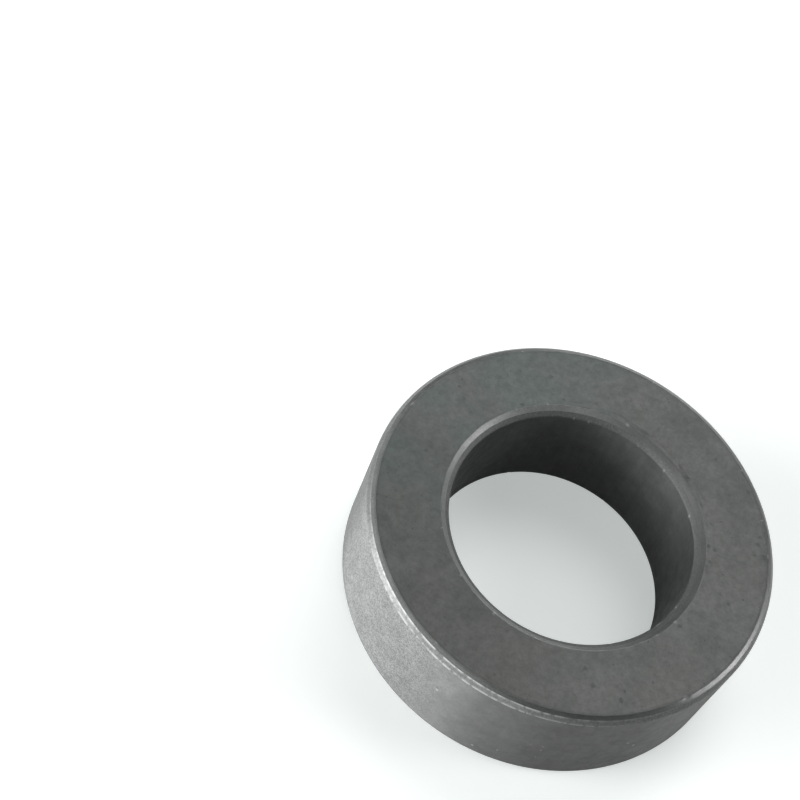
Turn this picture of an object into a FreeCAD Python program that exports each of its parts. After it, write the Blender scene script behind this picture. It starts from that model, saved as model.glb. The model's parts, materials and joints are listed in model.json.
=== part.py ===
import FreeCAD, Part
import os

# Ferrite toroid core: one ring, pressed to shape, sintered, and ground on its two flat faces.
# The bore axis is +Z. The origin is the centre of the lower face, which the ring rests on.
# Every size is in millimetres.

# The ring: across the outside, and the section that carries the flux, from wall to wall and face to face
OUTER_DIAMETER = 63.0
SECTION_WIDTH = 12.5
HEIGHT = 20.0

# What the section leaves open: a bore of 38 mm
BORE_DIAMETER = OUTER_DIAMETER - 2 * SECTION_WIDTH

# Relief along the outer edge of each face, as the punch leaves it: a shallow slope falls away
# from the ground face, and a steeper band takes it on down to the wall
OUTER_RELIEF_WIDTH = 1.2
OUTER_RELIEF_DEPTH = 1.04
OUTER_BAND_WIDTH = 0.57
OUTER_SLOPE_DEPTH = 0.36

# Relief round each mouth of the bore: wider, and nearly straight from the face to the wall
BORE_RELIEF_WIDTH = 1.45
BORE_RELIEF_DEPTH = 1.16
BORE_BAND_WIDTH = 0.62
BORE_SLOPE_DEPTH = 0.63

# Which side of a wall the ferrite lies on, and which face an edge belongs to
FERRITE_INSIDE = 1
FERRITE_OUTSIDE = -1
UPPER = 1
LOWER = -1

FULL_TURN = 360.0


def relief(width, depth, band_width, slope_depth, wall_radius, side, face):
    """Corners of one edge's relief in the half section y = 0, in order from the face to the wall."""
    face_height = HEIGHT if face == UPPER else 0.0

    def point(from_wall, from_face):
        return FreeCAD.Vector(wall_radius - side * from_wall, 0, face_height - face * from_face)

    face_edge = point(width, 0)
    knee = point(band_width, slope_depth)
    wall_start = point(0, depth)
    return [face_edge, knee, wall_start]


def outer_relief(face):
    """Relief between a face and the outer wall."""
    return relief(
        OUTER_RELIEF_WIDTH, OUTER_RELIEF_DEPTH, OUTER_BAND_WIDTH, OUTER_SLOPE_DEPTH,
        OUTER_DIAMETER / 2, FERRITE_INSIDE, face,
    )


def bore_relief(face):
    """Relief between a face and the wall of the bore."""
    return relief(
        BORE_RELIEF_WIDTH, BORE_RELIEF_DEPTH, BORE_BAND_WIDTH, BORE_SLOPE_DEPTH,
        BORE_DIAMETER / 2, FERRITE_OUTSIDE, face,
    )


def half_section():
    """The ring's section on the +X side of the axis: out over the upper face, back under the lower one."""
    over_the_top = bore_relief(UPPER)[::-1] + outer_relief(UPPER)
    under_the_bottom = outer_relief(LOWER)[::-1] + bore_relief(LOWER)
    outline = over_the_top + under_the_bottom
    return Part.Face(Part.makePolygon(outline + outline[:1]))


def toroid_core():
    """The section turned once round the bore axis."""
    bore_axis = FreeCAD.Vector(0, 0, 1)
    return half_section().revolve(FreeCAD.Vector(0, 0, 0), bore_axis, FULL_TURN)


os.makedirs("parts", exist_ok=True)
core = toroid_core()
core.exportStep("parts/toroid_core.step")
print("toroid_core:", core.ShapeType, "valid", core.isValid(), "volume in cubic mm", round(core.Volume, 1))
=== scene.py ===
import bpy
import json
import math
import random
from mathutils import Matrix, Vector, noise


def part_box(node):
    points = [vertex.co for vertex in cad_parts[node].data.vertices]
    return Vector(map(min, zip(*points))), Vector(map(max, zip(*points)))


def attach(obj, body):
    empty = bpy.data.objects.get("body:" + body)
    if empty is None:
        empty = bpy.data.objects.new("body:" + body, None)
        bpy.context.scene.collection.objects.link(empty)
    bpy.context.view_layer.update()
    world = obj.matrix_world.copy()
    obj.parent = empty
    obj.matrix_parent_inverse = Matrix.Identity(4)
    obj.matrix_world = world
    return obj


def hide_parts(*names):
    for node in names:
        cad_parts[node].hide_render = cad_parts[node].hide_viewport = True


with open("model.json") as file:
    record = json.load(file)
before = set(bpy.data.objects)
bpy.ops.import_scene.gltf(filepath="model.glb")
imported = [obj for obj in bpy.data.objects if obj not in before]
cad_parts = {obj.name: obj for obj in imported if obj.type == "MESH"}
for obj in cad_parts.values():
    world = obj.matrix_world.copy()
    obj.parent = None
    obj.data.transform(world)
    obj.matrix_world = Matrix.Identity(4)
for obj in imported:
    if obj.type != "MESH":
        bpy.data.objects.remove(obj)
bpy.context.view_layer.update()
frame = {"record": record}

MM = 0.001
NODE = "toroid_core"

low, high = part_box(NODE)
OUTER_RADIUS = (high.x - low.x) / 2 / MM
HEIGHT = (high.z - low.z) / MM
bore_mount = next(mount for mount in frame["record"]["mounts"] if mount["name"] == "bore")
BORE_RADIUS = bore_mount["dims"]["r_mm"]

# The edge reliefs in millimetres: width and depth of the whole, width of the steep band, depth of the slope,
# and the small rounds at the face and at the knee, as the length that each takes off both stretches
OUTER_RELIEF = {
    "width": 1.2, "depth": 1.04, "band": 0.57, "slope": 0.36,
    "face_round": 0.06, "knee_round": 0.06,
}
BORE_RELIEF = {
    "width": 1.45, "depth": 1.16, "band": 0.62, "slope": 0.63,
    "face_round": 0.05, "knee_round": 0.1,
}

# Small round between band and wall, in millimetres
WALL_EDGE_ROUND = 0.12

# How finely the ring is meshed: steps round it, and rows over each stretch of its section
STEPS_ROUND = 900
UPPER_FACE_ROWS = 15
LOWER_FACE_ROWS = 9
OUTER_WALL_ROWS = 13
BORE_WALL_ROWS = 9
SLOPE_ROWS = 4
BAND_ROWS = 4
FACE_EDGE_ROWS = 3
SMALL_ROUND_ROWS = 2

SEED = 63

# Grain of the pressed surfaces: depths and sizes in millimetres, and the shares of coarse and fine grain
OUTER_RELIEF_GRAIN_DEPTH = 0.005
BORE_RELIEF_GRAIN_DEPTH = 0.006
RELIEF_GRAIN_SIZE = 0.42
COARSE_GRAIN_SHARE = 0.35
FINE_GRAIN_SHARE = 0.15
TIMES_FINER_GRAIN = 2.3
WALL_GRAIN_DEPTH = 0.008
WALL_GRAIN_SIZE = 0.9

# The face edges run in and out a little: how far, how far beside the edge it fades, the sizes of the swings,
# and how far apart in the noise the two faces and the two swings are taken
EDGE_WOBBLE = 0.05
EDGE_WOBBLE_REACH = 0.7
WOBBLE_SIZE = 1.7
FINE_WOBBLE_SIZE = 0.5
FINE_WOBBLE_SHARE = 0.6
BETWEEN_FACES = 40
BETWEEN_WOBBLES = 9

# Small nicks at random: smallest and largest length along the edge, reach beside it and depth in millimetres,
# then how fine and how rough their floor is, and how soon its colour is all fresh fracture
NICKS_PER_EDGE = 7
NICK_LENGTH = (0.3, 1.0)
NICK_REACH = (0.1, 0.26)
NICK_DEPTH = (0.02, 0.07)
NICK_LUMPS_PER_MM = 5
NICK_LUMP_SHARE = 0.5
FRESH_GAIN = 1.6

# Edges of the outer relief that tumbling rubbed pale in streaks, painted near white there as highlights, most
# of all on
# one side: the reach beside the edge and the size of the streaks in millimetres, the azimuth of that side in
# degrees, how narrow it is and the share elsewhere, how the streaks are mixed, and how far apart in the noise
# the edges are taken
RUBBED_EDGES = ("outer knee", "outer wall edge")
RUBBED_REACH = 0.26
RUBBED_STREAK_SIZE = 0.9
RUBBED_GLINT_SIDE_AZIMUTH = -115
RUBBED_SIDE_SHARPNESS = 6
RUBBED_SHARE_ELSEWHERE = 0.08
FINE_STREAK_SHARE = 0.7
TIMES_FINER_STREAKS = 3.1
STREAK_MIDDLE = 0.75
STREAK_CONTRAST = 1.6
BETWEEN_EDGES = 3

# Nicks that the photograph shows: the edge, the azimuth in degrees from +X, then length, reach and depth
SEEN_NICKS = (
    ("upper bore wall edge", -18.2, 0.5, 0.3, 0.12),
    ("upper bore wall edge", 56.4, 0.4, 0.22, 0.06),
    ("upper bore face edge", -109.7, 0.5, 0.2, 0.05),
    ("upper outer wall edge", -106.0, 0.7, 0.25, 0.08),
    ("upper outer face edge", -41.0, 0.8, 0.25, 0.08),
)

# Material slots of the ring
GROUND_FACE, PRESSED_WALL, BORE_WALL, OUTER_SLOPE, OUTER_BAND, BORE_SLOPE, BORE_BAND = range(7)
OUTER_RELIEF_SLOTS = (OUTER_SLOPE, OUTER_BAND)
BORE_RELIEF_SLOTS = (BORE_SLOPE, BORE_BAND)


# The section: its corners, each with its round and the stretch that follows it

def edge_corners(relief, wall_radius, side, face_height, face):
    """Corners of one edge, from the face to the wall, as (radius, height) in millimetres."""
    def point(from_wall, from_face):
        return Vector((wall_radius - side * from_wall, face_height - face * from_face))
    return [
        (point(relief["width"], 0), relief["face_round"], FACE_EDGE_ROWS),
        (point(relief["band"], relief["slope"]), relief["knee_round"], SMALL_ROUND_ROWS),
        (point(0, relief["depth"]), WALL_EDGE_ROUND, SMALL_ROUND_ROWS),
    ]


def section_corners():
    """Corners round the whole section, with the name of the edge, the following stretch and its material."""
    upper_bore = edge_corners(BORE_RELIEF, BORE_RADIUS, -1, HEIGHT, 1)
    upper_outer = edge_corners(OUTER_RELIEF, OUTER_RADIUS, 1, HEIGHT, 1)
    lower_outer = edge_corners(OUTER_RELIEF, OUTER_RADIUS, 1, 0, -1)
    lower_bore = edge_corners(BORE_RELIEF, BORE_RADIUS, -1, 0, -1)
    edges = (
        ("upper bore", upper_bore, True, UPPER_FACE_ROWS, GROUND_FACE),
        ("upper outer", upper_outer, False, OUTER_WALL_ROWS, PRESSED_WALL),
        ("lower outer", lower_outer, True, LOWER_FACE_ROWS, GROUND_FACE),
        ("lower bore", lower_bore, False, BORE_WALL_ROWS, BORE_WALL),
    )
    corners = []
    for name, points, from_wall, rows_after, slot_after in edges:
        slope, band = (BORE_SLOPE, BORE_BAND) if name.endswith("bore") else (OUTER_SLOPE, OUTER_BAND)
        # From the face down to the wall, or back from the wall up to the face
        stretches = [
            ("face edge", SLOPE_ROWS, slope, slope),
            ("knee", BAND_ROWS, band, band),
            ("wall edge", rows_after, slot_after, band),
        ]
        if from_wall:
            points = points[::-1]
            stretches = [
                ("wall edge", BAND_ROWS, band, band),
                ("knee", SLOPE_ROWS, slope, band),
                ("face edge", rows_after, slot_after, slope),
            ]
        for (point, reach, round_rows), (label, rows, slot, round_slot) in zip(points, stretches):
            corners.append({
                "name": name + " " + label, "point": point, "rows": rows, "slot": slot,
                "reach": reach, "round_rows": round_rows, "round_slot": round_slot,
            })
    return corners


def rounded(before, corner, after, reach, rows):
    """Points of the small round in place of a corner."""
    start = corner + (before - corner).normalized() * reach
    end = corner + (after - corner).normalized() * reach
    points = []
    for i in range(rows + 1):
        t = i / rows
        points.append(start * (1 - t) ** 2 + corner * 2 * t * (1 - t) + end * t ** 2)
    return points


def eased(t, long_stretch):
    """Rows lie closer near the ends of the long stretches."""
    return (1 - math.cos(math.pi * t)) / 2 if long_stretch else t


def section_rows():
    """Rows round the section: place, outward direction, material of what follows, and distance along it."""
    corners = section_corners()
    count = len(corners)
    rounds = []
    for i, corner in enumerate(corners):
        before = corners[i - 1]["point"]
        after = corners[(i + 1) % count]["point"]
        rounds.append(rounded(before, corner["point"], after, corner["reach"], corner["round_rows"]))
    rows = []
    edge_at = {}
    for i, corner in enumerate(corners):
        arc = rounds[i]
        edge_at[corner["name"]] = len(rows) + len(arc) // 2
        rows += [(point, corner["round_slot"]) for point in arc[:-1]]
        start = arc[-1]
        end = rounds[(i + 1) % count][0]
        long_stretch = corner["slot"] in (GROUND_FACE, PRESSED_WALL, BORE_WALL)
        for k in range(corner["rows"]):
            rows.append((start.lerp(end, eased(k / corner["rows"], long_stretch)), corner["slot"]))
    travelled = 0.0
    result = []
    for i, (point, slot) in enumerate(rows):
        along = rows[(i + 1) % len(rows)][0] - rows[i - 1][0]
        outward = Vector((-along.y, along.x)).normalized()
        result.append({"point": point, "outward": outward, "slot": slot, "at": travelled})
        travelled += (rows[(i + 1) % len(rows)][0] - point).length
    return result, {name: result[row]["at"] for name, row in edge_at.items()}, travelled


# Wear: grain of the pressed surfaces, a slightly uneven face edge, and small nicks

def nicks(edge_at):
    """Every nick as (place along the section, azimuth in radians, length, reach, depth)."""
    chance = random.Random(SEED)
    found = []
    for name, azimuth, length, reach, depth in SEEN_NICKS:
        found.append((edge_at[name], math.radians(azimuth) % math.tau, length, reach, depth))
    for name in edge_at:
        if name.endswith("face edge") or name.endswith("wall edge"):
            for _ in range(NICKS_PER_EDGE):
                small = chance.random() ** 2
                found.append((
                    edge_at[name], chance.random() * math.tau,
                    NICK_LENGTH[0] + (NICK_LENGTH[1] - NICK_LENGTH[0]) * small,
                    NICK_REACH[0] + (NICK_REACH[1] - NICK_REACH[0]) * chance.random(),
                    NICK_DEPTH[0] + (NICK_DEPTH[1] - NICK_DEPTH[0]) * small,
                ))
    return found


def worn_section(rows, edge_at, whole):
    """Depth of wear and share of fresh fracture for every point, row by row."""
    depth = [[0.0] * STEPS_ROUND for _ in rows]
    fresh = [[0.0] * STEPS_ROUND for _ in rows]
    for at, azimuth, length, reach, deep in nicks(edge_at):
        for number, row in enumerate(rows):
            apart = abs(row["at"] - at)
            apart = min(apart, whole - apart)
            if apart > reach:
                continue
            half = length / 2
            radius = row["point"].x
            span = int(half / (math.tau * radius / STEPS_ROUND)) + 1
            middle = int(azimuth / math.tau * STEPS_ROUND)
            for step in range(middle - span, middle + span + 1):
                along = (step * math.tau / STEPS_ROUND - azimuth) * radius
                share = (1 - (along / half) ** 2) * (1 - (apart / reach) ** 2) if abs(along) < half else 0
                if share <= 0:
                    continue
                spot = Vector((along * NICK_LUMPS_PER_MM, apart * NICK_LUMPS_PER_MM, at))
                ragged = 1 - NICK_LUMP_SHARE / 2 + NICK_LUMP_SHARE * noise.noise(spot)
                cell = step % STEPS_ROUND
                depth[number][cell] = max(depth[number][cell], deep * share * ragged)
                fresh[number][cell] = max(fresh[number][cell], min(1.0, FRESH_GAIN * share))
    return depth, fresh


def rubbed_glint_section(rows, edge_at):
    """Share of pale worn edge, also a painted highlight, for every point, row by row."""
    rubbed_glint = [[0.0] * STEPS_ROUND for _ in rows]
    rubbed_side = math.radians(RUBBED_GLINT_SIDE_AZIMUTH)
    for at in (edge_at[name] for name in edge_at if name.endswith(RUBBED_EDGES)):
        for number, row in enumerate(rows):
            near = 1 - abs(row["at"] - at) / RUBBED_REACH
            if near <= 0:
                continue
            for step in range(STEPS_ROUND):
                turn = math.tau * step / STEPS_ROUND
                towards = max(0.0, math.cos(turn - rubbed_side)) ** RUBBED_SIDE_SHARPNESS
                side = RUBBED_SHARE_ELSEWHERE + (1 - RUBBED_SHARE_ELSEWHERE) * towards
                radius = row["point"].x
                place = Vector((math.cos(turn) * radius, math.sin(turn) * radius, BETWEEN_EDGES * at))
                swing = noise.noise(place / RUBBED_STREAK_SIZE)
                swing += FINE_STREAK_SHARE * noise.noise(place / RUBBED_STREAK_SIZE * TIMES_FINER_STREAKS)
                streak = min(1.0, max(0.0, STREAK_MIDDLE + STREAK_CONTRAST * swing))
                rubbed_glint[number][step] = near * streak * side
    return rubbed_glint


def grain_depth(slot, place):
    """How deep the grain lies below the true surface at a place in millimetres."""
    if slot in OUTER_RELIEF_SLOTS + BORE_RELIEF_SLOTS:
        coarse = noise.noise(place / RELIEF_GRAIN_SIZE)
        fine = noise.noise(place / RELIEF_GRAIN_SIZE * TIMES_FINER_GRAIN)
        deep = OUTER_RELIEF_GRAIN_DEPTH if slot in OUTER_RELIEF_SLOTS else BORE_RELIEF_GRAIN_DEPTH
        return deep * (0.5 + COARSE_GRAIN_SHARE * coarse + FINE_GRAIN_SHARE * fine)
    if slot == PRESSED_WALL:
        return WALL_GRAIN_DEPTH * (0.5 + 0.5 * noise.noise(place / WALL_GRAIN_SIZE))
    return 0.0


def ring_mesh():
    """The ring as one closed grid."""
    rows, edge_at, whole = section_rows()
    depth, fresh = worn_section(rows, edge_at, whole)
    rubbed_glint = rubbed_glint_section(rows, edge_at)
    face_edges = [at for name, at in edge_at.items() if name.endswith("face edge")]
    points = []
    wear = []
    for number, row in enumerate(rows):
        slot_before = rows[number - 1]["slot"]
        grain_slot = row["slot"] if row["slot"] == slot_before else None
        near = min(min(abs(row["at"] - at), whole - abs(row["at"] - at)) for at in face_edges)
        wobble_share = max(0.0, 1 - near / EDGE_WOBBLE_REACH)
        upper = 1 if row["point"].y > HEIGHT / 2 else -1
        towards_middle = 1 if row["point"].x < (OUTER_RADIUS + BORE_RADIUS) / 2 else -1
        for step in range(STEPS_ROUND):
            turn = math.tau * step / STEPS_ROUND
            place = Vector((math.cos(turn) * row["point"].x, math.sin(turn) * row["point"].x, row["point"].y))
            inward = depth[number][step]
            if grain_slot is not None:
                inward += grain_depth(grain_slot, place)
            radius = row["point"].x - row["outward"].x * inward
            height = row["point"].y - row["outward"].y * inward
            if wobble_share > 0:
                layer = BETWEEN_FACES * upper
                swing = noise.noise(Vector((place.x, place.y, layer + BETWEEN_WOBBLES)) / WOBBLE_SIZE)
                swing += FINE_WOBBLE_SHARE * noise.noise(Vector((place.x, place.y, layer)) / FINE_WOBBLE_SIZE)
                radius += EDGE_WOBBLE * wobble_share * swing * towards_middle
            points.append((math.cos(turn) * radius * MM, math.sin(turn) * radius * MM, height * MM))
            wear.append(fresh[number][step])
    faces = []
    slots = []
    for number, row in enumerate(rows):
        here = number * STEPS_ROUND
        there = (number + 1) % len(rows) * STEPS_ROUND
        for step in range(STEPS_ROUND):
            after = (step + 1) % STEPS_ROUND
            faces.append((here + step, there + step, there + after, here + after))
            slots.append(row["slot"])
    mesh = bpy.data.meshes.new("ferrite_ring")
    mesh.from_pydata(points, [], faces)
    mesh.polygons.foreach_set("material_index", slots)
    mesh.polygons.foreach_set("use_smooth", [True] * len(faces))
    mesh.attributes.new("wear", "FLOAT", "POINT").data.foreach_set("value", wear)
    paler = [share for row in rubbed_glint for share in row]
    mesh.attributes.new("rubbed_glint", "FLOAT", "POINT").data.foreach_set("value", paler)
    mesh.update()
    return mesh


# Materials

# All patterns lie in the ring's own coordinates, in millimetres. Azimuths on the ring are in degrees from +X
# and grow anticlockwise seen from above.

# Noise mostly lies between these values
NOISE_LOW = 0.3
NOISE_HIGH = 0.7

# Scattered spots: how fine their outline is, and their smallest size and its spread as shares of the radius
SPOT_OUTLINE = 0.8
SPOT_SMALLEST = 0.4
SPOT_SPREAD = 0.6

# Single spots: the size of the swings in their outline in millimetres, and how far it swings and how large
# their full middle is, as shares of the radius
SINGLE_SPOT_OUTLINE = 0.4
SINGLE_SPOT_SWING = 0.8
SINGLE_SPOT_MIDDLE = 0.3


class Graph:
    """Adds nodes to one material, each input given as a value or as another node's output."""

    def __init__(self, name):
        self.material = bpy.data.materials.new(name)
        self.material.use_nodes = True
        self.tree = self.material.node_tree
        self.shader = self.tree.nodes["Principled BSDF"]
        place = self.tree.nodes.new("ShaderNodeTexCoord").outputs["Object"]
        self.place = self.scaled(place, (1 / MM, 1 / MM, 1 / MM))

    def put(self, socket, value):
        if isinstance(value, bpy.types.NodeSocket):
            self.tree.links.new(value, socket)
        else:
            socket.default_value = value

    def scaled(self, vector, factors):
        node = self.tree.nodes.new("ShaderNodeVectorMath")
        node.operation = "MULTIPLY"
        self.put(node.inputs[0], vector)
        self.put(node.inputs[1], factors)
        return node.outputs["Vector"]

    def math(self, operation, first, second=0.0):
        node = self.tree.nodes.new("ShaderNodeMath")
        node.operation = operation
        self.put(node.inputs[0], first)
        self.put(node.inputs[1], second)
        return node.outputs["Value"]

    def times(self, first, second):
        return self.math("MULTIPLY", first, second)

    def noise(self, size, detail=2.0, roughness=0.5, stretch=(1, 1, 1), shift=(0, 0, 0)):
        """Soft noise whose features are about as large as the size in millimetres."""
        moved = self.tree.nodes.new("ShaderNodeVectorMath")
        moved.operation = "ADD"
        self.put(moved.inputs[0], self.scaled(self.place, stretch))
        self.put(moved.inputs[1], shift)
        node = self.tree.nodes.new("ShaderNodeTexNoise")
        self.put(node.inputs["Vector"], moved.outputs["Vector"])
        self.put(node.inputs["Scale"], 1 / size)
        self.put(node.inputs["Detail"], detail)
        self.put(node.inputs["Roughness"], roughness)
        return node.outputs["Fac"]

    def remap(self, value, low_in, high_in, low_out=0.0, high_out=1.0):
        """A smooth step from one value to another while the input goes from low to high."""
        node = self.tree.nodes.new("ShaderNodeMapRange")
        node.interpolation_type = "SMOOTHSTEP"
        self.put(node.inputs["Value"], value)
        self.put(node.inputs["From Min"], low_in)
        self.put(node.inputs["From Max"], high_in)
        self.put(node.inputs["To Min"], low_out)
        self.put(node.inputs["To Max"], high_out)
        return node.outputs["Result"]

    def vary(self, pattern, low_out=0.0, high_out=1.0):
        """A noise spread from one value to another."""
        return self.remap(pattern, NOISE_LOW, NOISE_HIGH, low_out, high_out)

    def spots(self, spacing, radius, share, shift=(0, 0, 0), soft=0.5):
        """Uneven spots, at most one in each cell of the spacing; share is how many cells have one."""
        warp = self.tree.nodes.new("ShaderNodeTexNoise")
        self.put(warp.inputs["Vector"], self.place)
        self.put(warp.inputs["Scale"], SPOT_OUTLINE / radius)
        bent = self.tree.nodes.new("ShaderNodeVectorMath")
        bent.operation = "MULTIPLY_ADD"
        self.put(bent.inputs[0], warp.outputs["Color"])
        self.put(bent.inputs[1], (radius, radius, radius))
        self.put(bent.inputs[2], self.place)
        moved = self.tree.nodes.new("ShaderNodeVectorMath")
        moved.operation = "ADD"
        self.put(moved.inputs[0], bent.outputs["Vector"])
        self.put(moved.inputs[1], shift)
        cells = self.tree.nodes.new("ShaderNodeTexVoronoi")
        self.put(cells.inputs["Vector"], moved.outputs["Vector"])
        self.put(cells.inputs["Scale"], 1 / spacing)
        parts = self.tree.nodes.new("ShaderNodeSeparateColor")
        self.tree.links.new(cells.outputs["Color"], parts.inputs[0])
        chosen = self.math("LESS_THAN", parts.outputs[0], share)
        size = self.math("MULTIPLY_ADD", parts.outputs[1], SPOT_SPREAD * radius / spacing)
        size.node.inputs[2].default_value = SPOT_SMALLEST * radius / spacing
        near = self.remap(self.math("DIVIDE", cells.outputs["Distance"], size), soft, 1.0, 1.0, 0.0)
        return self.times(near, chosen)

    def spot_at(self, azimuth, from_axis, height, radius):
        """One uneven spot, given by its azimuth in degrees, its distance from the axis and its height."""
        turn = math.radians(azimuth)
        apart = self.tree.nodes.new("ShaderNodeVectorMath")
        apart.operation = "DISTANCE"
        self.put(apart.inputs[0], self.place)
        self.put(apart.inputs[1], (from_axis * math.cos(turn), from_axis * math.sin(turn), height))
        swing = self.times(self.noise(SINGLE_SPOT_OUTLINE, 1.0), SINGLE_SPOT_SWING * radius)
        swing = self.math("SUBTRACT", swing, SINGLE_SPOT_SWING / 2 * radius)
        distance = self.math("ADD", apart.outputs["Value"], swing)
        return self.remap(distance, SINGLE_SPOT_MIDDLE * radius, radius, 1.0, 0.0)

    def mix(self, factor, first, second):
        node = self.tree.nodes.new("ShaderNodeMix")
        node.data_type = "RGBA"
        self.put(node.inputs["Factor"], factor)
        self.put(node.inputs["A"], first)
        self.put(node.inputs["B"], second)
        return node.outputs["Result"]

    def lit(self, colour, level):
        """The colour made lighter or darker by a level."""
        node = self.tree.nodes.new("ShaderNodeVectorMath")
        node.operation = "SCALE"
        self.put(node.inputs[0], colour)
        self.put(node.inputs["Scale"], level)
        return node.outputs["Vector"]

    def unit(self):
        """Direction away from the ring's axis."""
        node = self.tree.nodes.new("ShaderNodeVectorMath")
        node.operation = "NORMALIZE"
        self.put(node.inputs[0], self.scaled(self.place, (1, 1, 0)))
        return node.outputs["Vector"]

    def facing(self, azimuth):
        """Cosine of the angle round the axis from the azimuth in degrees."""
        node = self.tree.nodes.new("ShaderNodeVectorMath")
        node.operation = "DOT_PRODUCT"
        turn = math.radians(azimuth)
        self.put(node.inputs[0], self.unit())
        self.put(node.inputs[1], (math.cos(turn), math.sin(turn), 0))
        return node.outputs["Value"]

    def with_painted_sides(self, level, painted_sides):
        """The level, painted paler and darker towards given azimuths for light and shade."""
        for azimuth, start, full, factor in painted_sides:
            level = self.times(level, self.remap(self.facing(azimuth), start, full, 1.0, factor))
        return level

    def radius(self):
        """Distance from the ring's axis in millimetres."""
        flat = self.scaled(self.place, (1, 1, 0))
        node = self.tree.nodes.new("ShaderNodeVectorMath")
        node.operation = "LENGTH"
        self.put(node.inputs[0], flat)
        return node.outputs["Value"]

    def height(self):
        node = self.tree.nodes.new("ShaderNodeSeparateXYZ")
        self.put(node.inputs[0], self.place)
        return node.outputs["Z"]

    def arcs(self, across, around, detail=2.0):
        """Noise drawn out along circles round the axis, sized across and along them in millimetres."""
        radius = self.radius()
        middle = (OUTER_RADIUS + BORE_RADIUS) / 2
        turned = self.scaled(self.unit(), (middle / around, middle / around, 0))
        parts = self.tree.nodes.new("ShaderNodeSeparateXYZ")
        self.put(parts.inputs[0], turned)
        whole = self.tree.nodes.new("ShaderNodeCombineXYZ")
        self.put(whole.inputs["X"], parts.outputs["X"])
        self.put(whole.inputs["Y"], parts.outputs["Y"])
        self.put(whole.inputs["Z"], self.math("DIVIDE", radius, across))
        node = self.tree.nodes.new("ShaderNodeTexNoise")
        self.put(node.inputs["Vector"], whole.outputs["Vector"])
        self.put(node.inputs["Scale"], 1.0)
        self.put(node.inputs["Detail"], detail)
        return node.outputs["Fac"]

    def share(self, name):
        """A share that the mesh carries: fresh fracture is "wear", pale worn edges with painted highlights
        are "rubbed_glint".
        """
        node = self.tree.nodes.new("ShaderNodeAttribute")
        node.attribute_name = name
        return node.outputs["Fac"]

    def fresh(self):
        """How far the colour goes towards that of fresh fracture."""
        return self.times(self.share("wear"), FRESH_SHARE)

    def bump(self, height, depth, below=None):
        """Bump from a height of 0 to 1 that stands for a depth in millimetres."""
        node = self.tree.nodes.new("ShaderNodeBump")
        self.put(node.inputs["Strength"], 1.0)
        self.put(node.inputs["Distance"], depth * MM)
        self.put(node.inputs["Height"], height)
        if below is not None:
            self.put(node.inputs["Normal"], below)
        return node.outputs["Normal"]

    def finish(self, colour, roughness, normal, ior):
        self.put(self.shader.inputs["Base Color"], colour)
        self.put(self.shader.inputs["Roughness"], roughness)
        self.put(self.shader.inputs["Normal"], normal)
        self.shader.inputs["IOR"].default_value = ior
        return self.material


FERRITE_IOR = 1.5
RUBBED_IOR = 1.75
FRESH_FERRITE = (0.26, 0.27, 0.265, 1)
FRESH_SHARE = 0.6

# Where a surface has sides painted paler or darker for light and shade, each is given by its azimuth, the
# cosines of the turn away from it where it starts and where it is full, and how many times paler it is there

# Ground face
FACE_DARK = (0.084, 0.090, 0.088, 1)
FACE_LIGHT = (0.108, 0.113, 0.110, 1)
FACE_GREEN = (0.093, 0.115, 0.108, 1)
FACE_OLIVE = (0.108, 0.110, 0.102, 1)
DARKER_FACE_SIDE_AZIMUTH = -138
GREEN_SIDE_AZIMUTH = 150
MARKED_SIDE_AZIMUTH = 58
FACE_PIT_COLOUR = (0.045, 0.05, 0.048, 1)
FACE_OUTER_RADIUS = OUTER_RADIUS - OUTER_RELIEF["width"]

# Dark marks that the photograph shows on the upper face: azimuth in degrees, distance from the axis, radius
SEEN_MARKS = (
    (-68.0, 25.8, 0.6),
    (-70.0, 23.2, 0.5),
    (-48.0, 26.5, 0.4),
    (-26.0, 21.4, 0.5),
    (-6.0, 25.4, 0.4),
    (8.0, 21.1, 0.4),
    (14.0, 21.8, 0.45),
    (14.5, 29.7, 0.75),
    (18.5, 28.8, 0.5),
    (21.0, 29.3, 0.5),
    (36.4, 29.5, 0.5),
    (49.8, 27.2, 0.4),
    (115.0, 25.5, 0.45),
    (176.5, 24.6, 0.4),
)


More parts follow.
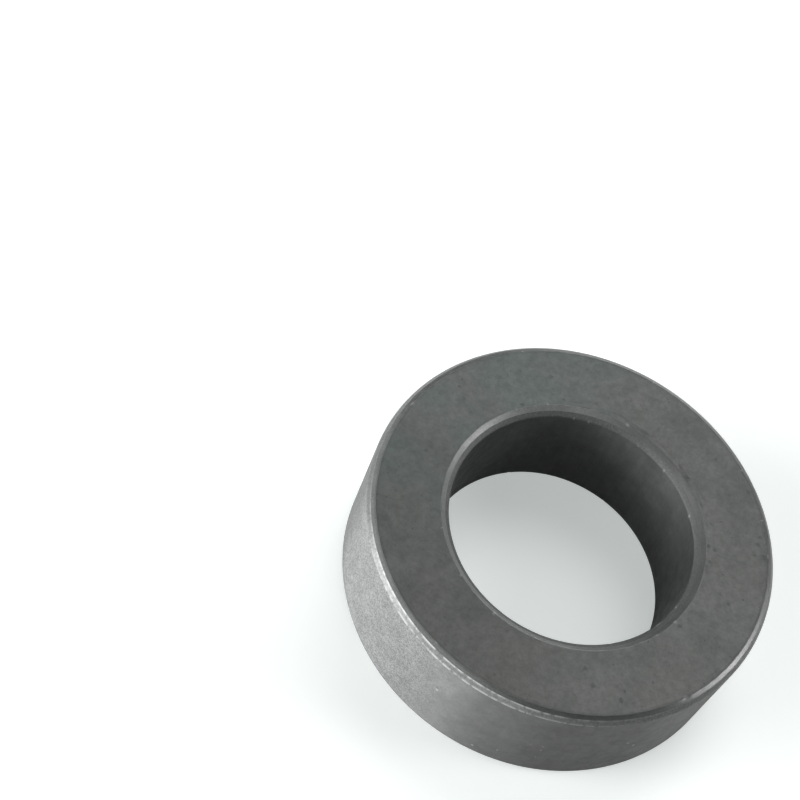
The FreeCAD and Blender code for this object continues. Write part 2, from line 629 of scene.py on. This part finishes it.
def ground_face():
    g = Graph("ground_face")
    clouds = g.noise(5.5, 4.0, 0.6)
    colour = g.mix(g.remap(clouds, 0.35, 0.65), FACE_DARK, FACE_LIGHT)
    olive = g.times(g.remap(g.noise(16, 2.0, 0.5, shift=(7, 3, 1)), 0.35, 0.7), 0.6)
    colour = g.mix(olive, colour, FACE_OLIVE)
    green_side = g.remap(g.facing(GREEN_SIDE_AZIMUTH), 0.1, 0.95)
    green = g.times(green_side, g.remap(g.noise(9, 3.0, 0.5), 0.3, 0.65))
    colour = g.mix(green, colour, FACE_GREEN)
    # One side is darker
    level = g.remap(g.facing(DARKER_FACE_SIDE_AZIMUTH), 0.3, 0.9, 1.04, 0.8)
    grain = g.noise(0.32, 2.0, 0.7)
    level = g.times(level, g.vary(grain, 0.94, 1.06))
    flecks = g.noise(1.1, 4.0, 0.65, shift=(3, 8, 2))
    level = g.times(level, g.vary(flecks, 0.87, 1.13))
    smudges = g.remap(g.noise(0.9, 2.0, 0.5, shift=(9, 1, 6)), 0.62, 0.74)
    level = g.times(level, g.remap(smudges, 0, 1, 1.0, 0.84))
    # Dark rubbed marks that run along the bore's relief, strongest on one side, and a few along the outer one
    smears = g.remap(g.arcs(0.8, 3.6, 3.0), 0.48, 0.66)
    near_bore = g.remap(g.radius(), BORE_RADIUS + 1.8, BORE_RADIUS + 4.0, 1.0, 0.0)
    side = g.remap(g.facing(MARKED_SIDE_AZIMUTH), 0.3, 0.85, 0.25, 1.0)
    dark_marks = g.times(g.times(smears, near_bore), side)
    level = g.times(level, g.remap(dark_marks, 0, 1, 1.0, 0.68))
    near_rim = g.remap(g.radius(), OUTER_RADIUS - 3.2, OUTER_RADIUS - 1.3)
    rim_marks = g.remap(g.arcs(0.5, 4.5, 3.0), 0.56, 0.7)
    rim_marks = g.times(rim_marks, near_rim)
    level = g.times(level, g.remap(rim_marks, 0, 1, 1.0, 0.82))
    # A thin line of painted shade runs round inside the outer relief
    painted_shade_line = g.remap(g.radius(), FACE_OUTER_RADIUS - 0.5, FACE_OUTER_RADIUS - 0.15, 1.0, 0.84)
    level = g.times(level, painted_shade_line)
    # Faint pale scuffs and fine scratches
    scuffs = g.remap(g.arcs(0.3, 6, 2.0), 0.62, 0.76)
    scuffs = g.times(scuffs, g.remap(g.noise(8, 2.0, 0.5, shift=(5, 5, 0)), 0.46, 0.66))
    level = g.times(level, g.remap(scuffs, 0, 1, 1.0, 1.16))
    colour = g.lit(colour, level)
    # Pits where grains broke out
    stains = g.spots(5.0, 1.0, 0.45, shift=(2, 7, 3), soft=0.1)
    colour = g.mix(g.times(stains, 0.35), colour, FACE_PIT_COLOUR)
    pits = g.math("MAXIMUM", g.spots(3.4, 0.5, 0.3), g.spots(1.3, 0.2, 0.3, shift=(4, 2, 7)))
    colour = g.mix(g.times(pits, 0.7), colour, FACE_PIT_COLOUR)
    marks = 0.0
    for azimuth, from_axis, radius in SEEN_MARKS:
        marks = g.math("MAXIMUM", marks, g.spot_at(azimuth, from_axis, HEIGHT, radius))
    colour = g.mix(g.times(marks, 0.6), colour, FACE_PIT_COLOUR)
    fresh = g.fresh()
    colour = g.mix(fresh, colour, FRESH_FERRITE)
    roughness = g.vary(g.noise(2.2, 3.0, 0.6), 0.54, 0.68)
    roughness = g.math("SUBTRACT", roughness, g.times(fresh, 0.2))
    surface = g.math("ADD", g.times(grain, 0.6), g.times(flecks, 0.4))
    normal = g.bump(surface, 0.03)
    normal = g.bump(g.math("SUBTRACT", 1.0, pits), 0.05, normal)
    return g.finish(colour, roughness, normal, FERRITE_IOR)


# Walls, as pressed and sintered
WALL_DARK = (0.214, 0.219, 0.217, 1)
WALL_LIGHT = (0.256, 0.262, 0.260, 1)
WALL_SPECK_AND_GLINT = (0.62, 0.63, 0.62, 1)
WALL_HOLE = (0.07, 0.073, 0.072, 1)
WALL_LEVEL = 0.93
# Sides of the wall painted paler and darker for light and shade
WALL_PAINTED_SIDES = (
    (-121, 0.5, 0.98, 1.29),
    (-86, 0.94, 0.988, 0.74),
    (-72, 0.866, 0.961, 0.86),
    (-20, 0.94, 0.985, 0.8),
    (180, 0.9, 0.99, 0.7),
)
# The side whose grain is painted with glints of light
GLINTING_GRAIN_SIDE_AZIMUTH = -150

# Bright grains that the photograph shows, painted as glints: azimuth in degrees, height and radius in
# millimetres
SEEN_GLINT_SPECKS = (
    (-108.6, 11.6, 0.34),
    (-93.0, 2.7, 0.3),
    (-150.2, 6.5, 0.4),
    (-158.4, 4.8, 0.35),
    (-86.6, 4.4, 0.2),
    (-53.7, 10.8, 0.3),
)


def pressed_wall():
    g = Graph("pressed_wall")
    clouds = g.noise(3.2, 4.0, 0.65)
    colour = g.mix(g.vary(clouds), WALL_DARK, WALL_LIGHT)
    # Painted light and shade: sides painted paler where the light falls and darker where shade fell, and one
    # side whose grain is painted with glints
    side = g.with_painted_sides(WALL_LEVEL, WALL_PAINTED_SIDES)
    glinting_grain_side = g.remap(g.facing(GLINTING_GRAIN_SIDE_AZIMUTH), 0.68, 0.9, 0.14, 1.0)
    grain = g.noise(0.2, 2.0, 0.8)
    fine = g.times(glinting_grain_side, g.vary(grain, -0.36, 0.36))
    # Pale veins where the noise crosses its middle value, dark ones between them
    crossing = g.math("ABSOLUTE", g.math("SUBTRACT", g.noise(0.7, 3.0, 0.65, shift=(5, 5, 5)), 0.5))
    veins = g.times(glinting_grain_side, g.remap(crossing, 0.0, 0.09, 0.24, -0.14))
    level = g.times(side, g.math("ADD", 1.0, g.math("ADD", fine, veins)))
    patches = g.noise(1.3, 3.0, 0.6, shift=(1, 5, 5))
    level = g.times(level, g.remap(patches, 0.32, 0.68, 0.96, 1.04))
    # Faint marks of the die, drawn out along the pressing direction
    streaks = g.noise(0.55, 2.0, 0.5, stretch=(1, 1, 0.09))
    level = g.times(level, g.vary(streaks, 0.98, 1.02))
    near_rim = g.remap(g.height(), HEIGHT - 3.2, HEIGHT - 1.1)
    scratches = g.remap(g.noise(0.4, 1.0, 0.5, stretch=(1, 1, 0.12), shift=(2, 6, 0)), 0.64, 0.74)
    scratches = g.times(scratches, near_rim)
    level = g.times(level, g.remap(scratches, 0, 1, 1.0, 1.2))
    colour = g.lit(colour, level)
    # Bright grains: a few seen ones, which are painted glints, and small pale ones all round
    large_specks = g.spots(4.0, 0.3, 0.2, shift=(0.4, 0, 0))
    small_specks = g.spots(1.8, 0.16, 0.2, shift=(0, 5, 3))
    specks = g.math("MAXIMUM", large_specks, small_specks)
    for azimuth, height, radius in SEEN_GLINT_SPECKS:
        specks = g.math("MAXIMUM", specks, g.spot_at(azimuth, OUTER_RADIUS, height, radius))
    colour = g.mix(g.times(specks, 0.75), colour, WALL_SPECK_AND_GLINT)
    holes = g.spots(2.2, 0.28, 0.25, shift=(6, 1, 8))
    colour = g.mix(g.times(holes, 0.45), colour, WALL_HOLE)
    colour = g.mix(g.fresh(), colour, FRESH_FERRITE)
    roughness = g.vary(g.noise(1.4, 3.0, 0.6, shift=(8, 1, 2)), 0.56, 0.7)
    normal = g.bump(grain, 0.035)
    normal = g.bump(g.noise(1.6, 2.0, 0.5, shift=(3, 3, 9)), 0.03, normal)
    return g.finish(colour, roughness, normal, FERRITE_IOR)


# The bore's wall is darker, and smoother from the core rod
BORE_DARK = (0.036, 0.038, 0.037, 1)
BORE_LIGHT = (0.050, 0.053, 0.052, 1)
# The side of the bore's wall painted paler for the light that falls on it
BORE_PAINTED_LIGHT_SIDE_AZIMUTH = 84


def bore_wall():
    g = Graph("bore_wall")
    clouds = g.noise(4.0, 3.0, 0.6, shift=(6, 2, 5))
    colour = g.mix(g.vary(clouds), BORE_DARK, BORE_LIGHT)
    grain = g.noise(0.4, 2.0, 0.6)
    streaks = g.noise(0.7, 2.0, 0.5, stretch=(1, 1, 0.08), shift=(1, 1, 0))
    level = g.times(g.vary(grain, 0.93, 1.07), g.vary(streaks, 0.93, 1.07))
    # Painted light and shade: one side of the bore's wall is painted paler, where light falls, and the rest
    # darker
    level = g.times(level, g.remap(g.facing(BORE_PAINTED_LIGHT_SIDE_AZIMUTH), 0.25, 0.97, 0.55, 1.9))
    colour = g.lit(colour, level)
    colour = g.mix(g.fresh(), colour, FRESH_FERRITE)
    roughness = g.vary(g.noise(2.0, 3.0, 0.6, shift=(4, 7, 2)), 0.4, 0.52)
    normal = g.bump(grain, 0.02)
    normal = g.bump(streaks, 0.015, normal)
    return g.finish(colour, roughness, normal, FERRITE_IOR)


# The slopes of the reliefs keep their pressed skin, with painted shade along the ground face

# Each has its darkest and lightest tone, its shares of painted shade and of dark specks, the depth of its
# grain in millimetres, its smoothest and roughest places, and its sides painted paler or darker for light and
# shade
OUTER_SLOPE_LOOK = {
    "tones": ((0.074, 0.079, 0.077, 1), (0.104, 0.110, 0.107, 1)),
    "face_edge_shade": 0.4,
    "specks": 0.05,
    "grain": 0.003,
    "roughness": (0.29, 0.36),
    "painted_sides": ((-140, 0.4, 0.85, 1.8), (-66, 0.8, 0.97, 0.72)),
}
BORE_SLOPE_LOOK = {
    "tones": ((0.086, 0.091, 0.089, 1), (0.112, 0.118, 0.116, 1)),
    "face_edge_shade": 0.15,
    "specks": 0.04,
    "grain": 0.007,
    "roughness": (0.32, 0.44),
    "painted_sides": ((-125, 0.4, 0.85, 1.7), (122, 0.75, 0.95, 1.9), (15, 0.35, 0.75, 0.62)),
}
# Tone of the painted shade along the face and of the dark specks
SLOPE_SHADE_AND_SPECKS = (0.036, 0.039, 0.038, 1)


def relief_slope(name, look):
    g = Graph(name)
    grain = g.noise(0.3, 3.0, 0.75)
    colour = g.mix(g.remap(grain, 0.36, 0.66), *look["tones"])
    blotches = g.noise(2.6, 3.0, 0.6, shift=(3, 3, 3))
    level = g.vary(blotches, 0.9, 1.1)
    # Sides painted paler and darker for light and shade, with painted highlights
    colour = g.lit(colour, g.with_painted_sides(level, look["painted_sides"]))
    # The painted shade along the face ends in an uneven line
    depth = g.math("MINIMUM", g.height(), g.math("SUBTRACT", HEIGHT, g.height()))
    uneven = g.math("ADD", depth, g.times(g.noise(1.8, 1.0), 0.12))
    colour = g.mix(g.remap(uneven, 0.06, 0.22, look["face_edge_shade"], 0.0), colour, SLOPE_SHADE_AND_SPECKS)
    specks = g.spots(0.9, 0.16, 0.3, shift=(5, 2, 2))
    colour = g.mix(g.times(specks, look["specks"]), colour, SLOPE_SHADE_AND_SPECKS)
    colour = g.mix(g.fresh(), colour, FRESH_FERRITE)
    roughness = g.vary(g.noise(0.4, 2.0, 0.6, shift=(2, 2, 8)), *look["roughness"])
    normal = g.bump(grain, look["grain"])
    return g.finish(colour, roughness, normal, RUBBED_IOR)


# The bands of the reliefs, beside the walls

# Tumbling rubbed the outer one pale, and it is painted paler still as highlights, most of all on one side,
# and the bore's stayed dark. Their looks are given as those of the slopes are
OUTER_BAND_LOOK = {
    "tones": ((0.115, 0.120, 0.118, 1), (0.185, 0.192, 0.189, 1)),
    "roughness": (0.32, 0.42),
    "painted_sides": ((RUBBED_GLINT_SIDE_AZIMUTH, 0.75, 0.97, 1.6),),
}
BORE_BAND_LOOK = {
    "tones": ((0.078, 0.083, 0.081, 1), (0.122, 0.128, 0.126, 1)),
    "roughness": (0.5, 0.6),
    "painted_sides": ((0, 0.4, 0.85, 0.62),),
}
# Near white, for rubbed edges that are also painted highlights
RUBBED_GLINT_FERRITE = (0.72, 0.735, 0.73, 1)


def relief_band(name, look):
    g = Graph(name)
    grain = g.noise(0.3, 3.0, 0.75, shift=(1, 4, 4))
    colour = g.mix(g.remap(grain, 0.36, 0.66), *look["tones"])
    # Sides painted paler and darker for light and shade; the outer band's pale side is a painted highlight
    colour = g.lit(colour, g.with_painted_sides(1.0, look["painted_sides"]))
    specks = g.spots(1.0, 0.16, 0.3, shift=(1, 7, 2))
    colour = g.mix(g.times(specks, 0.5), colour, SLOPE_SHADE_AND_SPECKS)
    # Rubbed pale streaks, painted near white as highlights
    rubbed_glint = g.share("rubbed_glint")
    colour = g.mix(rubbed_glint, colour, RUBBED_GLINT_FERRITE)
    colour = g.mix(g.fresh(), colour, FRESH_FERRITE)
    roughness = g.vary(g.noise(0.5, 2.0, 0.6, shift=(2, 2, 8)), *look["roughness"])
    roughness = g.math("SUBTRACT", roughness, g.times(rubbed_glint, 0.03))
    normal = g.bump(grain, 0.02)
    return g.finish(colour, roughness, normal, FERRITE_IOR)


ring = bpy.data.objects.new("ferrite_ring", ring_mesh())
bpy.context.scene.collection.objects.link(ring)
for material in (
    ground_face(), pressed_wall(), bore_wall(),
    relief_slope("outer_slope", OUTER_SLOPE_LOOK), relief_band("outer_band", OUTER_BAND_LOOK),
    relief_slope("bore_slope", BORE_SLOPE_LOOK), relief_band("bore_band", BORE_BAND_LOOK),
):
    ring.data.materials.append(material)
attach(ring, "root")
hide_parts(NODE)


# The floor, which looks white to the camera and keeps the ring's shadow

FLOOR_HALF = 3.0
FLOOR_TONE = (0.28, 0.28, 0.28, 1)
FLOOR_SEEN_TONE = (0.79, 0.8, 0.795, 1)
FLOOR_GLOW_SEEN = 0.45
FLOOR_GLOW_REFLECTED = 0.12
FLOOR_GLOW_COLOUR = (0.94, 1.0, 0.98, 1)
FLOOR_ROUGHNESS = 0.9


def ray_value(tree, seen, reflected):
    """One value for what the camera sees, one for reflections and glass, and 0 for light on things."""
    path = tree.nodes.new("ShaderNodeLightPath")
    mirrored = tree.nodes.new("ShaderNodeMath")
    mirrored.operation = "MAXIMUM"
    tree.links.new(path.outputs["Is Glossy Ray"], mirrored.inputs[0])
    tree.links.new(path.outputs["Is Transmission Ray"], mirrored.inputs[1])
    weaker = tree.nodes.new("ShaderNodeMath")
    weaker.operation = "MULTIPLY"
    weaker.inputs[1].default_value = reflected
    tree.links.new(mirrored.outputs["Value"], weaker.inputs[0])
    whole = tree.nodes.new("ShaderNodeMath")
    whole.operation = "MULTIPLY_ADD"
    whole.inputs[1].default_value = seen
    tree.links.new(path.outputs["Is Camera Ray"], whole.inputs[0])
    tree.links.new(weaker.outputs["Value"], whole.inputs[2])
    return whole.outputs["Value"]


def floor_material():
    material = bpy.data.materials.new("pale_floor")
    material.use_nodes = True
    tree = material.node_tree
    shader = tree.nodes["Principled BSDF"]
    shader.inputs["Roughness"].default_value = FLOOR_ROUGHNESS
    shader.inputs["Specular IOR Level"].default_value = 0.0
    tone = tree.nodes.new("ShaderNodeMix")
    tone.data_type = "RGBA"
    tone.inputs["A"].default_value = FLOOR_TONE
    tone.inputs["B"].default_value = FLOOR_SEEN_TONE
    tree.links.new(ray_value(tree, 1.0, 1.0), tone.inputs["Factor"])
    tree.links.new(tone.outputs["Result"], shader.inputs["Base Color"])
    shader.inputs["Emission Color"].default_value = FLOOR_GLOW_COLOUR
    tree.links.new(ray_value(tree, FLOOR_GLOW_SEEN, FLOOR_GLOW_REFLECTED), shader.inputs["Emission Strength"])
    return material


floor_mesh = bpy.data.meshes.new("floor")
floor_corners = ((-1, -1), (1, -1), (1, 1), (-1, 1))
floor_points = [(x * FLOOR_HALF, y * FLOOR_HALF, low.z) for x, y in floor_corners]
floor_mesh.from_pydata(floor_points, [], [(0, 1, 2, 3)])
floor = bpy.data.objects.new("floor", floor_mesh)
floor_mesh.materials.append(floor_material())
bpy.context.scene.collection.objects.link(floor)


# The light: an even level and a few wide soft sources, all in the world

EVEN_LEVEL = 0.05
WHITE_SEEN = 0.985

# Each source: the azimuth and elevation of its middle in degrees, its strength, and the degrees from there
# within which it is full and beyond which it is gone. Here azimuth 0 is the -Y side, the one nearest to the
# camera, and it grows anticlockwise seen from above
SOFT_SOURCES = (
    ("left window", -72, 10, 17.1, 6.0, 18.0),
    ("left window, far half", -92, 10, 1.4, 6.0, 18.0),
    ("left window, near half", -54, 12, 6.4, 6.0, 18.0),
    ("left window, upper part", -60, 24, 3.2, 6.0, 18.0),
    ("front left, high", -34, 36, 0.8, 6.5, 19.5),
    ("right", 103, 29, 8.8, 5.0, 15.0),
    ("right, low", 112, 13, 1.9, 7.0, 21.0),
    ("back, low", 170, 12, 3.2, 7.0, 21.0),
    ("back, high", 180, 56, 3.9, 7.5, 22.5),
)


def studio_world():
    world = bpy.data.worlds.new("studio")
    world.use_nodes = True
    bpy.context.scene.world = world
    tree = world.node_tree
    background = tree.nodes["Background"]
    background.inputs["Color"].default_value = (1, 1, 1, 1)
    towards = tree.nodes.new("ShaderNodeTexCoord").outputs["Generated"]
    total = None
    for name, azimuth, elevation, strength, full, edge in SOFT_SOURCES:
        turn = math.radians(azimuth)
        rise = math.radians(elevation)
        aim = tree.nodes.new("ShaderNodeVectorMath")
        aim.label = name
        aim.operation = "DOT_PRODUCT"
        tree.links.new(towards, aim.inputs[0])
        aim.inputs[1].default_value = (
            math.sin(turn) * math.cos(rise), -math.cos(turn) * math.cos(rise), math.sin(rise),
        )
        spread = tree.nodes.new("ShaderNodeMapRange")
        spread.interpolation_type = "SMOOTHSTEP"
        tree.links.new(aim.outputs["Value"], spread.inputs["Value"])
        spread.inputs["From Min"].default_value = math.cos(math.radians(edge))
        spread.inputs["From Max"].default_value = math.cos(math.radians(full))
        spread.inputs["To Min"].default_value = 0.0
        spread.inputs["To Max"].default_value = strength
        added = tree.nodes.new("ShaderNodeMath")
        added.operation = "ADD"
        tree.links.new(spread.outputs["Result"], added.inputs[0])
        if total is None:
            added.inputs[1].default_value = EVEN_LEVEL
        else:
            tree.links.new(total, added.inputs[1])
        total = added.outputs["Value"]
    # The camera sees plain white beyond the floor
    path = tree.nodes.new("ShaderNodeLightPath")
    level = tree.nodes.new("ShaderNodeMix")
    level.data_type = "FLOAT"
    tree.links.new(path.outputs["Is Camera Ray"], level.inputs["Factor"])
    tree.links.new(total, level.inputs["A"])
    level.inputs["B"].default_value = WHITE_SEEN
    tree.links.new(level.outputs["Result"], background.inputs["Strength"])


studio_world()


# The camera, where the photograph was taken from: pixel sizes are those of the 800 x 800 photograph

PHOTO_SIDE_PX = 800
FOCAL_LENGTH_PX = 1817
UPPER_FACE_CENTRE_PX = (575.3, 523.0)
DISTANCE_MM = 269.4
ELEVATION_DEG = 55.93
ROLL_DEG = 22.94
SENSOR_MM = 36.0
NEAREST_SEEN = 0.01
FARTHEST_SEEN = 20.0


def photo_camera():
    data = bpy.data.cameras.new("photo_camera")
    data.sensor_width = SENSOR_MM
    data.lens = SENSOR_MM * FOCAL_LENGTH_PX / PHOTO_SIDE_PX
    data.clip_start = NEAREST_SEEN
    data.clip_end = FARTHEST_SEEN
    camera = bpy.data.objects.new("photo_camera", data)
    bpy.context.scene.collection.objects.link(camera)
    bpy.context.scene.camera = camera
    tilt = Matrix.Rotation(math.radians(90 - ELEVATION_DEG), 3, "X")
    roll = Matrix.Rotation(math.radians(ROLL_DEG), 3, "Z")
    turned = tilt @ roll
    middle = PHOTO_SIDE_PX / 2
    across = (UPPER_FACE_CENTRE_PX[0] - middle) / FOCAL_LENGTH_PX
    down = (UPPER_FACE_CENTRE_PX[1] - middle) / FOCAL_LENGTH_PX
    seen_at = Vector((across, -down, -1)) * DISTANCE_MM * MM
    camera.location = Vector((0, 0, HEIGHT * MM)) - turned @ seen_at
    camera.rotation_mode = "QUATERNION"
    camera.rotation_quaternion = turned.to_quaternion()


photo_camera()
bpy.context.scene.view_settings.view_transform = "Standard"
